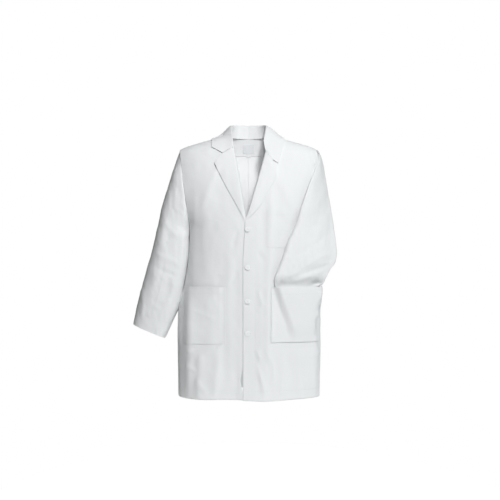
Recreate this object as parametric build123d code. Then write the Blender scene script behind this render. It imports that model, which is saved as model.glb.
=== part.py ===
"""Lab coat with a notched collar, three patch pockets and a four-button front.

The coat is upright, as a hanger holds it: +Z up, the wearer faces -Y, so the wearer's left is +X.
The origin is the middle of the neck opening, level with the foot of the collar, in millimetres.
Every cloth layer is a closed solid; layers that lie on each other are SEAM apart.
"""

import os
from math import copysign, cos, pi, sin

from build123d import *

os.makedirs("parts", exist_ok=True)

# ---------------------------------------------------------------- driving dimensions
CLOTH = 1.5  # one cloth layer
SEAM = 0.3  # between layers that are sewn flat on each other
ROUNDNESS = 2.4  # exponent of the body's rounded cross-section
RING_POINTS = 24

HEM_Z = -975.0
HEM_TURN = 30.0  # turned-up hem
SIDE_SEAM_Y = 8.0  # front and back panels meet in this plane
SHOULDER_TIP = (264.0, -45.0)  # X and Z of the top of the armhole
UNDERARM = (226.0, -332.0)  # X and Z of its lowest point
ARMHOLE_FLOOR_Z = -345.0
ARM_GAP = 0.8  # between bodies that turn on each other

NECK_HALF_WIDTH, NECK_HALF_DEPTH, NECK_Y = 80.5, 64.5, 4.0

FRONT_EDGE_X = -20.0  # the left front's edge, which lies on top
BUTTON_X = -3.0
UNDERLAP_X = 14.0
PLACKET_X = 25.0  # inner edge of the stitched front facing
BREAK_Z = -316.0  # where the lapels roll open
BUTTON_Z = (-346.0, -488.0, -614.0, -733.0)
BUTTON_RADIUS, BUTTON_THICK, BUTTON_RIM = 9.5, 2.6, 1.4
BUTTON_LIFT = 2.8  # thread shank between the cloth and the button's back
SHANK_RADIUS = 1.0
SLOT_LENGTH, SLOT_WIDTH = 23.0, 4.0

POCKET_TOP_Z, POCKET_BOTTOM_Z = -559.0, -766.0
RIGHT_POCKET_X = (-240.0, -84.0)
LEFT_POCKET_X = (82.0, 248.0)
CHEST_POCKET_X = (65.0, 181.0)
CHEST_POCKET_Z = (-418.0, -268.0)
POCKET_HEM = 25.0
POCKET_ROOM, FULL_POCKET_ROOM, CHEST_ROOM = 12.0, 38.0, 7.5
POCKET_SIDE = 3.0

VENT_TOP_Z = -560.0
VENT_LAP = 40.0

LAPEL_LIFT = 2.2  # the lapel's lower layer above the front panel
CUFF_TURN = 25.0

# z, half width, depth in front and depth behind, from the neck down to below the hem
BODY_SECTIONS = (
    (22, 82, 34, 58),
    (6, 135, 46, 68),
    (-14, 204, 58, 78),
    (-30, 252, 68, 84),
    (-50, 284, 78, 90),
    (-100, 292, 94, 100),
    (-180, 290, 108, 108),
    (-260, 268, 116, 110),
    (-345, 226, 120, 108),
    (-460, 232, 120, 108),
    (-560, 248, 121, 111),
    (-635, 272, 122, 112),
    (-1010, 272, 129, 119),
)

# Upper arm: z, inner x (inside the armhole plane), right and left outer x, half depth
UPPER_ARM = (
    (-36, 240, 262, 264, 14),
    (-41, 230, 266, 270, 28),
    (-50, 220, 270, 276, 46),
    (-66, 205, 276, 283, 54),
    (-100, 190, 287, 291, 58),
    (-160, 185, 304, 304, 66),
    (-230, 185, 326, 316, 68),
    (-300, 200, 346, 326, 62),
)
# The hanging right sleeve below the underarm: inner point and outer point (X, Z), half depth
RIGHT_SLEEVE = (
    ((-230.5, -345), (-356, -335), 59),
    ((-239, -444), (-377, -444), 62),
    ((-256, -554), (-402, -538), 60),
    ((-281, -630), (-421, -615), 54),
    ((-320, -733), (-435, -682), 46),
)
ELBOW = RIGHT_SLEEVE[1]
# The left sleeve below the armhole, flattened over the front and down into the pocket:
# z, inner point and outer point (X, Y), bulge in front and behind
LEFT_SLEEVE = (
    (-345, (196, -84), (331, -16), 48, 40),
    (-400, (150, -119), (337, -52), 32, 7),
    (-460, (120, -127), (334, -62), 26, 7),
    (-529, (97, -130), (291, -88), 19, 7),
    (-556, (102, -130), (240, -104), 12, 7),
    (-640, (125, -133), (233, -103), 11, 7),
    (-724, (153, -130), (229, -108), 10, 7),
)

# Half of the collar, back to front: its foot, the fold along its top, and its outer edge
COLLAR_FOOT = ((0, 65, 9), (46, 53, 11), (74, 26, 17), (78.5, 0, 20), (70, -32, 9), (60, -52, -12))
COLLAR_FOLD = (
    (0, 59, 57), (44, 47, 56), (64, 14, 53), (64, -14, 44), (60, -44, 18), (55, -72, -20), (50, -92, -80),
)
COLLAR_EDGE = (
    (0, 92, -2), (70, 79, 3), (122, 42, 12), (137, 0, 14), (141, -36, 2), (143, -72, -30), (140, -98, -95),
)
# The seam and the notch where collar and lapel part, seen from the front (X, Z)
GORGE = ((40, -14), (92, -70), (140, -34))
LAPEL_PEAK = (126, -106)


# ---------------------------------------------------------------- the body's shape
def section_at(z):
    """Half width, front depth and back depth of the body at height z."""
    for (z1, *upper), (z2, *lower) in zip(BODY_SECTIONS, BODY_SECTIONS[1:]):
        if z2 <= z <= z1:
            share = (z1 - z) / (z1 - z2)
            return [u + share * (w - u) for u, w in zip(upper, lower)]
    raise ValueError(f"no section at {z}")


def front_y(x, z, grow=0.0):
    """Y of the front surface at x and z, grow outside the cloth's face."""
    half_width, depth, _ = section_at(z)
    share = min(abs(x) / (half_width + grow), 1.0)
    return -(depth + grow) * (1 - share**ROUNDNESS) ** (1 / ROUNDNESS)


def closed_wire(points):
    """A closed spline; every ring has the same even parameters, so lofts between them stay straight."""
    parameters = [i / len(points) for i in range(len(points) + 1)]
    return Wire([Edge.make_spline(points, periodic=True, parameters=parameters)])


def body_ring(z, half_width, front, back, grow):
    points = []
    for i in range(RING_POINTS):
        turn = 2 * pi * i / RING_POINTS
        c, s = cos(turn), sin(turn)
        x = (half_width + grow) * copysign(abs(c) ** (2 / ROUNDNESS), c)
        depth = (back if s > 0 else front) + grow
        points.append((x, depth * copysign(abs(s) ** (2 / ROUNDNESS), s), z + grow))
    return closed_wire(points)


def body_solid(grow):
    """The whole body as a solid block, grow larger than the cloth's outer face."""
    return Solid.make_loft([body_ring(*s, grow) for s in BODY_SECTIONS], ruled=True)


def body_layer(inside, outside):
    """A shell between two distances outside the cloth's outer face."""
    return body_solid(outside) - body_solid(inside)


def front_prism(outline, y_from=-400.0, y_to=0.0):
    """A prism through the coat, from an outline in X and Z."""
    face = make_face(Polyline([(x, y_to, z) for x, z in outline], close=True))
    return extrude(face, amount=y_to - y_from, dir=(0, -1, 0))


def block(x, y, z):
    """A box from its ranges along X, Y and Z."""
    size = (x[1] - x[0], y[1] - y[0], z[1] - z[0])
    middle = ((x[0] + x[1]) / 2, (y[0] + y[1]) / 2, (z[0] + z[1]) / 2)
    return Pos(*middle) * Box(*size)


def mirrored(points):
    return [(-x, *rest) for x, *rest in points]


# ---------------------------------------------------------------- cutters
def armhole_cutters():
    """Everything outside the two armhole planes."""
    (tip_x, tip_z), (arm_x, arm_z) = SHOULDER_TIP, UNDERARM
    lean = (tip_x - arm_x) / (tip_z - arm_z)
    floor_x = arm_x + lean * (ARMHOLE_FLOOR_Z - arm_z)
    top_z = 60.0
    top_x = tip_x + lean * (top_z - tip_z)
    outline = [(floor_x, ARMHOLE_FLOOR_Z), (top_x, top_z), (450, top_z), (450, ARMHOLE_FLOOR_Z)]
    return front_prism(outline, -300, 300) + front_prism(mirrored(outline), -300, 300)


def neck_cutter():
    ellipse = Ellipse(NECK_HALF_WIDTH, NECK_HALF_DEPTH)
    return Pos(0, NECK_Y, -40) * extrude(ellipse, amount=150)


def opening_cutter():
    """The open V between the two roll lines."""
    outline = [
        (-62, 80), (-58, 0), (-19, -244), (-8, -297), (68, -52), (67, 0), (64, 80),
    ]
    return front_prism(outline)


BELOW_HEM = block((-500, 500), (-300, 300), (HEM_Z - 200, HEM_Z))
ARMHOLES = armhole_cutters()
NECK = neck_cutter()
OPENING = opening_cutter()


def trimmed(shape):
    """A body layer with its neck, armholes and hem cut."""
    return shape - BELOW_HEM - ARMHOLES - NECK


# ---------------------------------------------------------------- body panels
def right_front_outline():
    """Seen from the front: the underlap runs under the left front and swings clear at the hem."""
    return [
        (-400, 80), (UNDERLAP_X, 80), (UNDERLAP_X, -746), (-21, -864), (-31, HEM_Z - 5), (-400, HEM_Z - 5),
    ]


def left_front_outline():
    return [
        (UNDERLAP_X + SEAM, 80), (400, 80), (400, HEM_Z - 5), (FRONT_EDGE_X, HEM_Z - 5),
        (FRONT_EDGE_X, -780), (UNDERLAP_X + SEAM, -745),
    ]


def body_panels():
    cloth = trimmed(body_layer(-CLOTH, 0))
    front = cloth & block((-500, 500), (-300, SIDE_SEAM_Y), (HEM_Z - 50, 100))
    back = cloth - block((-500, 500), (-300, SIDE_SEAM_Y), (HEM_Z - 50, 100))
    open_front = front - OPENING
    vent_slit = block((-0.6, 0.6), (0, 300), (HEM_Z - 50, VENT_TOP_Z))
    back -= vent_slit
    right = open_front & front_prism(right_front_outline(), y_to=SIDE_SEAM_Y)
    left = open_front & front_prism(left_front_outline(), y_to=SIDE_SEAM_Y)
    return {
        "right_front_panel": right,
        "left_front_panel": left - right,
        "right_back_panel": back & block((-500, 0), (-300, 300), (-1100, 100)),
        "left_back_panel": back & block((0, 500), (-300, 300), (-1100, 100)),
    }


def placket():
    """The left front's edge, lying over the underlap, with its four buttonholes."""
    outline = [(FRONT_EDGE_X, BREAK_Z), (PLACKET_X, BREAK_Z + 24), (PLACKET_X, HEM_Z), (FRONT_EDGE_X, HEM_Z)]
    band = trimmed(body_layer(SEAM, SEAM + CLOTH)) & front_prism(outline)
    for z in BUTTON_Z:
        half = SLOT_LENGTH / 2
        slot = (BUTTON_X - half, BUTTON_X + half)
        band -= block(slot, (-300, 0), (z - SLOT_WIDTH / 2, z + SLOT_WIDTH / 2))
    return band


def facings():
    """The inner facing behind each front edge."""
    inner = trimmed(body_layer(-CLOTH - SEAM - 1.2, -CLOTH - SEAM)) - OPENING
    right = front_prism([(-48, -330), (UNDERLAP_X - 1, -330), (UNDERLAP_X - 1, -740), (-48, -740)])
    left = front_prism([(UNDERLAP_X + 1, -330), (60, -330), (60, -740), (UNDERLAP_X + 1, -740)])
    return {"right_front_facing": inner & right, "left_front_facing": inner & left}


def hem_turnings():
    """The cloth turned up inside the hem of each panel."""
    band = trimmed(body_layer(-2 * CLOTH - SEAM, -CLOTH - SEAM))
    band &= block((-500, 500), (-300, 300), (HEM_Z + 0.1, HEM_Z + HEM_TURN))
    front, behind = (-300, SIDE_SEAM_Y - 1), (SIDE_SEAM_Y + 1, 300)
    tall = (HEM_Z - 5, HEM_Z + 60)
    return {
        "right_front_hem": band & block((-400, -34), front, tall),
        "left_front_hem": band & block((-17, 400), front, tall),
        "right_back_hem": band & block((-400, -1.5), behind, tall),
        "left_back_hem": band & block((1.5, 400), behind, tall),
    }


def vent_underlap():
    """The lap behind the back vent, sewn inside the right back panel."""
    lap = trimmed(body_layer(-2 * CLOTH - SEAM - 0.2, -CLOTH - SEAM))
    low = HEM_Z + HEM_TURN + 1
    return lap & block((-12, VENT_LAP), (0, 300), (low, VENT_TOP_Z + 10))


# ---------------------------------------------------------------- collar and lapels
def cloth_strip(first, second, thick):
    """A cloth layer ruled between two curves."""
    edges = [Edge.make_spline(points) for points in (first, second)]
    return Solid.thicken(Face.make_surface_from_curves(*edges), thick)


def both_sides(half, grow=0.0, lift=0.0):
    """A curve round the neck from its half, moved grow outwards from the neck's axis and up by lift."""
    points = []
    for x, y, z in half:
        reach = (x**2 + (y - NECK_Y) ** 2) ** 0.5
        scale = 1 + grow / reach
        points.append((x * scale, NECK_Y + (y - NECK_Y) * scale, z + lift))
    return mirrored(points)[:0:-1] + points


def below_gorge(gap, side):
    """Everything in front of and below the collar's end, down one side."""
    (x1, z1), (x2, z2), (x3, z3) = GORGE
    outline = [
        (x1 - 40, z1 + 40 - gap), (x1, z1 - gap), (x2, z2 - gap), (x3 + 20, z3 + 12 - gap), (260, -34),
        (260, -300), (x1 - 40, -300),
    ]
    return front_prism([(side * x, z) for x, z in outline], y_to=-20)


def collar():
    """Stand, under collar, interlining and upper collar."""
    stand = cloth_strip(both_sides(COLLAR_FOOT), both_sides(COLLAR_FOLD[:6], -0.5, -4), CLOTH)
    stand -= trimmed(body_layer(-CLOTH - SEAM, SEAM))
    layers = {"collar_stand": max(stand.solids(), key=lambda solid: solid.volume)}
    stack = (("under_collar", 1.5, 1.2), ("collar_interlining", 3.2, 0.8), ("upper_collar", 4.5, 1.2))
    ends = below_gorge(0, 1) + below_gorge(0, -1)
    for name, grow, thick in stack:
        fold = both_sides(COLLAR_FOLD, grow, grow)
        edge = both_sides(COLLAR_EDGE, grow, grow)
        layers[name] = cloth_strip(fold, edge, thick) - ends
    return layers


def lapel_outline(side):
    """One lapel from the front: roll line, gorge, notch, peak and the edge down to the break."""
    notch_x, notch_z = GORGE[1]
    peak_x, peak_z = LAPEL_PEAK
    if side < 0:
        roll = [(-12, -302), (-20, -246), (-55, -35)]
        low = [(-76, -205), (-17, BREAK_Z)]
    else:
        roll = [(-6, -300), (69, -60), (62, -40)]
        low = [(70, -205), (-10, BREAK_Z)]
    return roll + [(side * (notch_x - 1), notch_z - 1.5), (side * peak_x, peak_z)] + low


def lapels():
    made = {}
    for side, name in ((-1, "right"), (1, "left")):
        shape = front_prism(lapel_outline(side)) - above_gorge(side)
        low = LAPEL_LIFT
        for part in ("lapel", "lapel_facing"):
            made[f"{name}_{part}"] = trimmed(body_layer(low, low + 1.2)) & shape
            low += 1.2 + SEAM
    return made


def above_gorge(side):
    """What lies above the gorge, with the gap that lets the lapel turn."""
    (x1, z1), (x2, z2), _ = GORGE
    outline = [(x1 - 60, z1 + 58), (x1 - 60, 120), (x2, 120), (x2, z2 - 1.0), (x1, z1 - 1.0)]
    return front_prism([(side * x, z) for x, z in outline])


# ---------------------------------------------------------------- sleeves
def sleeve_ring(inner, outer, front, back, grow):
    """A closed ring through its inner and outer points (X, Y, Z), bulging in front and behind."""
    middle = (Vector(*inner) + Vector(*outer)) * 0.5 + Vector(0, 0, grow)
    across = (Vector(*outer) - Vector(*inner)) * 0.5
    forward = Vector(across.Y, -across.X, 0).normalized()
    if forward.Y > 0:
        forward = forward * -1
    across = across.normalized() * (across.length + grow)
    points = []
    for i in range(RING_POINTS):
        turn = 2 * pi * i / RING_POINTS
        bulge = (front if sin(turn) > 0 else back) + grow
        points.append(middle + across * cos(turn) + forward * (bulge * sin(turn)))
    return closed_wire(points)


def sleeve_loft(rings, grow):
    return Solid.make_loft([sleeve_ring(*r, grow) for r in rings], ruled=True)


def upper_arm_rings(side, outer_column):
    """Level rings from the top of the shoulder down to the armpit."""
    rings = []
    for row in UPPER_ARM:
        z, inner, depth = row[0], row[1], row[4]
        rings.append(((side * inner, 0, z), (side * row[outer_column], 0, z), depth, depth))
    return rings


def right_sleeve_solid(grow):
    rings = upper_arm_rings(-1, 2)
    rings += [((x1, 0, z1), (x2, 0, z2), depth, depth) for (x1, z1), (x2, z2), depth in RIGHT_SLEEVE]
    return sleeve_loft(rings, grow)


def left_sleeve_solid(grow):
    """The left sleeve lies flattened over the front below the armhole."""
    rings = upper_arm_rings(1, 3)
    rings += [((*inner, z), (*outer, z), front, back) for z, inner, outer, front, back in LEFT_SLEEVE]
    return sleeve_loft(rings, grow)


def body_side(side, gap):
    """Everything on the body's side of an armhole plane, and gap beyond it."""
    (tip_x, tip_z), (arm_x, arm_z) = SHOULDER_TIP, UNDERARM
    lean = (tip_x - arm_x) / (tip_z - arm_z)
    low_z, high_z = ARMHOLE_FLOOR_Z - 10, 60
    low_x, high_x = (arm_x + gap + lean * (z - arm_z) for z in (low_z, high_z))
    reach = 120
    return [(side * x, z) for x, z in ((low_x, low_z), (high_x, high_z), (reach, high_z), (reach, low_z))]


def below_line(first, second, drop):
    """Everything below a slanting line in X and Z, drop under it."""
    (x1, z1), (x2, z2) = first, second
    slope = (z2 - z1) / (x2 - x1)
    ends = [(x, z1 + slope * (x - x1) - drop) for x in (x1 + 90, x2 - 90)]
    return front_prism(ends + [(ends[1][0], -900), (ends[0][0], -900)], -300, 300)


def sleeves():
    made = {}
    right = right_sleeve_solid(0) - right_sleeve_solid(-CLOTH)
    right -= front_prism(body_side(-1, ARM_GAP), -300, 300)
    made["right_upper_sleeve"] = right - below_line(*ELBOW[:2], 0)
    made["right_lower_sleeve"] = right & below_line(*ELBOW[:2], ARM_GAP)
    turning = right_sleeve_solid(-CLOTH - SEAM) - right_sleeve_solid(-2 * CLOTH - SEAM)
    made["right_cuff_turning"] = turning & below_line(*RIGHT_SLEEVE[-1][:2], -CUFF_TURN)
    left = left_sleeve_solid(0) - left_sleeve_solid(-CLOTH)
    (x1, x2), (z1, z2) = CHEST_POCKET_X, CHEST_POCKET_Z
    pocket = front_prism([(x1 - 1, z1 - 1), (x2 + 1, z1 - 1), (x2 + 1, z2 + 1), (x1 - 1, z2 + 1)])
    pocket &= body_solid(CHEST_ROOM + CLOTH + SEAM)
    made["left_sleeve"] = left - (body_solid(SEAM) - armhole_cutters()) - pocket
    inner = left_sleeve_solid(-CLOTH - SEAM) - left_sleeve_solid(-2 * CLOTH - SEAM)
    cuff_z = LEFT_SLEEVE[-1][0]
    made["left_cuff_turning"] = inner & block((0, 400), (-300, 100), (cuff_z, cuff_z + CUFF_TURN))
    return made


# ---------------------------------------------------------------- pockets
def patch_pocket(x, z, room):
    """A patch sewn on round three sides and open at the top, and the hem turned over inside its mouth."""
    whole = front_prism([(x[0], z[0]), (x[1], z[0]), (x[1], z[1]), (x[0], z[1])])
    inner = front_prism([
        (x[0] + POCKET_SIDE, z[0] + POCKET_SIDE), (x[1] - POCKET_SIDE, z[0] + POCKET_SIDE),
        (x[1] - POCKET_SIDE, z[1] + 1), (x[0] + POCKET_SIDE, z[1] + 1),
    ])
    patch = (body_layer(SEAM, room + CLOTH) & whole) - (body_solid(room) & inner)
    inset = POCKET_SIDE + 0.5
    mouth = front_prism([
        (x[0] + inset, z[1] - POCKET_HEM), (x[1] - inset, z[1] - POCKET_HEM),
        (x[1] - inset, z[1]), (x[0] + inset, z[1]),
    ])
    return patch, body_layer(room - SEAM - 1.0, room - SEAM) & mouth


def pockets():
    lower = (POCKET_BOTTOM_Z, POCKET_TOP_Z)
    made = {}
    for name, x, z, room in (
        ("right_pocket", RIGHT_POCKET_X, lower, POCKET_ROOM),
        ("left_pocket", LEFT_POCKET_X, lower, FULL_POCKET_ROOM),
        ("chest_pocket", CHEST_POCKET_X, CHEST_POCKET_Z, CHEST_ROOM),
    ):
        made[name], made[name + "_hem"] = patch_pocket(x, z, room)
    return made


# ---------------------------------------------------------------- buttons, threads and labels
def buttons():
    made = {}
    for number, z in enumerate(BUTTON_Z, 1):
        cloth_y = front_y(BUTTON_X, z)
        back = cloth_y - SEAM - CLOTH - BUTTON_LIFT
        face_out = Plane(origin=(BUTTON_X, back, z), x_dir=(1, 0, 0), z_dir=(0, -1, 0))
        disc = extrude(Circle(BUTTON_RADIUS), amount=BUTTON_THICK)
        disc = fillet(disc.edges(), 0.7)
        dish = Pos(0, 0, BUTTON_THICK - 0.8) * extrude(Circle(BUTTON_RADIUS - BUTTON_RIM - 0.8), amount=2)
        holes = [Pos(x, y, -1) * extrude(Circle(0.9), amount=6) for x in (-1.7, 1.7) for y in (-1.7, 1.7)]
        made[f"button_{number}"] = face_out * (disc - dish - holes)
        shank_length = BUTTON_LIFT + SEAM + CLOTH - 0.4
        shank = Pos(0, 0, -shank_length) * extrude(Circle(SHANK_RADIUS), amount=shank_length)
        bars = [Pos(0, y, BUTTON_THICK - 0.5) * Box(3.0, 0.8, 0.6) for y in (-1.7, 1.7)]
        post = extrude(Circle(0.35), amount=BUTTON_THICK - 0.4)
        posts = [Pos(x, y, 0) * post for x in (-1.2, 1.2) for y in (-1.7, 1.7)]
        base = Pos(0, 0, -0.4) * extrude(Circle(2.4), amount=0.4)
        thread = shank + base
        for piece in posts + bars:
            thread += piece
        made[f"button_{number}_thread"] = face_out * thread
    return made


def buttonhole_threads():
    """The stitched edge round each buttonhole, standing on the placket."""
    rings = []
    for z in BUTTON_Z:
        y = front_y(BUTTON_X, z) - SEAM - CLOTH - 0.35
        outer = block((BUTTON_X - 14, BUTTON_X + 14), (y - 0.5, y), (z - 4, z + 4))
        inner = block((BUTTON_X - 11.5, BUTTON_X + 11.5), (y - 3, y + 3), (z - 2, z + 2))
        rings.append(outer - inner)
    return Compound(children=rings)


def bartacks():
    """Short dense stitches beside the top corners of the pockets."""
    tacks = []
    mouths = (
        (RIGHT_POCKET_X, POCKET_TOP_Z),
        (LEFT_POCKET_X, POCKET_TOP_Z),
        (CHEST_POCKET_X, CHEST_POCKET_Z[1]),
    )
    for (left, right), z in mouths:
        for first, second in ((left - 2.2, left - 0.6), (right + 0.6, right + 2.2)):
            tacks.append(front_prism([(first, z - 12), (second, z - 12), (second, z), (first, z)]))
    layer = body_layer(SEAM, SEAM + 0.8)
    return Compound(children=[solid for tack in tacks for solid in (layer & tack).solids()])


def neck_trim():
    """The facing inside the back neck, the woven label on it and the size tab below the label."""
    yoke = [(-62, -4), (62, -4), (58, -52), (-58, -52)]
    label = [(-24, -14), (24, -14), (24, -44), (-24, -44)]
    tab = [(-8, -44.5), (8, -44.5), (8, -58), (-8, -58)]
    deep = -CLOTH - SEAM
    made = {}
    for name, outline, near, thick in (
        ("back_neck_facing", yoke, deep, 1.0),
        ("neck_label", label, deep - 1.2, 0.5),
        ("size_tab", tab, deep - 1.9, 0.5),
    ):
        made[name] = body_layer(near - thick, near) & front_prism(outline, y_from=0, y_to=300)
    return made


def build():
    parts = body_panels()
    parts["left_front_placket"] = placket()
    parts |= facings()
    parts |= hem_turnings()
    parts["vent_underlap"] = vent_underlap()
    parts |= collar()
    parts |= lapels()
    parts |= sleeves()
    parts |= pockets()
    parts |= buttons()
    parts["buttonhole_threads"] = buttonhole_threads()
    parts["pocket_bartacks"] = bartacks()
    parts |= neck_trim()
    return parts


for node, shape in build().items():
    export_step(shape, f"parts/{node}.step")
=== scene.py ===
"""White lab coat, filled out as if worn, its right sleeve free and its left cuff in the pocket."""

import math

import bmesh
import bpy
import numpy as np
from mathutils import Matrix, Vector


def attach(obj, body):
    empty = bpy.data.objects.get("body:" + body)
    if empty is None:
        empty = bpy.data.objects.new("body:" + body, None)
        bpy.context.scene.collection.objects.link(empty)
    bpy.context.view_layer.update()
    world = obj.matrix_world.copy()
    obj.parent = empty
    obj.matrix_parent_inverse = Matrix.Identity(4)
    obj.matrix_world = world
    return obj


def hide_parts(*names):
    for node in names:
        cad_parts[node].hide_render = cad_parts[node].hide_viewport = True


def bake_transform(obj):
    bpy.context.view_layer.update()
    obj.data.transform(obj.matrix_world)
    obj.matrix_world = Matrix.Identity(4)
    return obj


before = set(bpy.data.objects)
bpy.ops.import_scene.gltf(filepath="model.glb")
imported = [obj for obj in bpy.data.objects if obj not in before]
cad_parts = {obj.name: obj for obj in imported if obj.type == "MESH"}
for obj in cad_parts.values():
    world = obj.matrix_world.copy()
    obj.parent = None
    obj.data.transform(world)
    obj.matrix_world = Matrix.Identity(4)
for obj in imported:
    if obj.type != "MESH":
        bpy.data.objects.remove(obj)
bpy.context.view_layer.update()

# ---- driving dimensions, in millimetres
MM = 0.001
ROUNDNESS = 2.4  # exponent of the body's rounded cross-section
HEM_Z = -975.0
HEM_DEPTH = 28.0
SIDE_SEAM_Y = 8.0
SHOULDER_TIP = (264.0, -40.0)
UNDERARM = (225.0, -345.0)
NECK_HALF_WIDTH, NECK_HALF_DEPTH, NECK_Y = 80.0, 64.0, 4.0
BUTTON_X = -3.0
BUTTON_Z = (-346.0, -488.0, -614.0, -733.0)
BREAK_Z = -314.0  # where the lapels start to roll open
RIGHT_POCKET = ((-243.0, -86.0), (-776.0, -562.0))
LEFT_POCKET = ((84.0, 256.0), (-768.0, -562.0))
CHEST_POCKET = ((67.0, 183.0), (-415.0, -266.0))
POCKET_HEM = 25.0
SEAM_INSET = 3.0  # from a pocket's edge to its stitches
VENT_TOP = -560.0
STITCH, STITCH_GAP = 2.6, 0.9
SEAM_THREAD, CUFF_THREAD, HOLE_THREAD = 0.36, 0.35, 0.75  # radii
PANEL_THICK, SLEEVE_THICK, COLLAR_THICK, LAPEL_THICK, STAND_THICK = 0.7, 0.7, 1.4, 1.2, 1.0
HIP_Z, HIP_SPREAD, HIP_FULLNESS = -574.0, 52.0, 23.0  # how the cuff in the pocket fills the coat out
ELBOW_Z = -405.0
HOLE_HALF_LENGTH, HOLE_HALF_HEIGHT, BAR_HALF_HEIGHT = 11.0, 1.6, 3.0  # the buttonholes
FLOOR_Z = -1450.0

# how finely things are made
PANEL_COLUMNS, RIGHT_SLEEVE_COLUMNS, LEFT_SLEEVE_COLUMNS, PATCH_COLUMNS = 96, 120, 150, 40
COLLAR_ROWS, COLLAR_COLUMNS, STAND_COLUMNS = 90, 40, 80  # of each half; the lapels have as many
CUFF_ROWS = 14  # the rows of the right sleeve that the inside of its cuff covers

# z, half width, depth in front, depth behind
SECTIONS = np.array((
    (30, 70, 27, 52), (22, 84, 34, 58), (6, 136, 46, 68), (-14, 205, 58, 78),
    (-30, 252, 68, 84), (-50, 282, 78, 90), (-100, 293, 93, 99), (-180, 290, 108, 108),
    (-260, 266, 116, 110), (-345, 226, 120, 108), (-400, 228, 120, 108), (-460, 233, 120, 108),
    (-560, 250, 121, 111), (-635, 272, 122, 113), (-740, 275, 125, 116), (-990, 272, 130, 120),
), float)


# ---- small mathematics
def ease(t):
    t = np.clip(t, 0.0, 1.0)
    return t * t * (3 - 2 * t)


def cubic(t, a, b, m, n):
    """From a to b with the tangents m and n, as t goes from 0 to 1."""
    rise = 3 * t**2 - 2 * t**3
    return (2 * t**3 - 3 * t**2 + 1) * a + (t**3 - 2 * t**2 + t) * m + rise * b + (t**3 - t**2) * n


def smooth_table(keys, values, at):
    """A cubic through a table that doesn't overshoot it: keys rising, values of any width."""
    keys, values = np.asarray(keys, float), np.asarray(values, float)
    at = np.clip(np.asarray(at, float), keys[0], keys[-1])
    slope = np.diff(values, axis=0) / np.diff(keys).reshape((-1,) + (1,) * (values.ndim - 1))
    tangent = np.zeros_like(values)
    tangent[0], tangent[-1] = slope[0], slope[-1]
    same = slope[1:] * slope[:-1] > 0
    tangent[1:-1] = np.where(same, 2 * slope[1:] * slope[:-1] / np.where(same, slope[1:] + slope[:-1], 1), 0)
    i = np.clip(np.searchsorted(keys, at, side="right") - 1, 0, len(keys) - 2)
    wide = (...,) + (None,) * (values.ndim - 1)
    h = (keys[i + 1] - keys[i])[wide]
    t = ((at - keys[i]) / (keys[i + 1] - keys[i]))[wide]
    return cubic(t, values[i], values[i + 1], tangent[i] * h, tangent[i + 1] * h)


def section_at(z):
    """The body's half width, depth in front and depth behind at height z."""
    rows = SECTIONS[::-1]
    return np.moveaxis(smooth_table(rows[:, 0], rows[:, 1:], z), -1, 0)


def noise(x, y, size, seed):
    """Smooth value noise between -1 and 1, size is the distance between its bumps."""
    cells = 64
    rng = np.random.default_rng(seed)
    lattice = rng.uniform(-1, 1, (cells, cells))
    u, v = np.asarray(x, float) / size + 31.7, np.asarray(y, float) / size + 17.3
    i, j = np.floor(u).astype(int), np.floor(v).astype(int)
    s, t = ease(u - i), ease(v - j)

    def corner(a, b):
        return lattice[(i + a) % cells, (j + b) % cells]

    low = corner(0, 0) * (1 - s) + corner(1, 0) * s
    high = corner(0, 1) * (1 - s) + corner(1, 1) * s
    return low * (1 - t) + high * t


def fold(x, z, path, width, height):
    """A soft ridge (or a groove, with a negative height) along a line of (x, z) points."""
    fade = 0.25  # share of its length over which each end dies out
    x, z = np.asarray(x, float), np.asarray(z, float)
    best, along = np.full(np.broadcast(x, z).shape, 1e9), np.zeros(np.broadcast(x, z).shape)
    lengths = [math.dist(a, b) for a, b in zip(path, path[1:])]
    run, total = 0.0, sum(lengths)
    for (x1, z1), (x2, z2), length in zip(path, path[1:], lengths):
        t = np.clip(((x - x1) * (x2 - x1) + (z - z1) * (z2 - z1)) / length**2, 0, 1)
        d = np.hypot(x - x1 - t * (x2 - x1), z - z1 - t * (z2 - z1))
        near = d < best
        best = np.where(near, d, best)
        along = np.where(near, (run + t * length) / total, along)
        run += length
    ends = ease(along / fade) * ease((1 - along) / fade)
    return height * ends * np.exp(-((best / width) ** 2))


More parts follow.
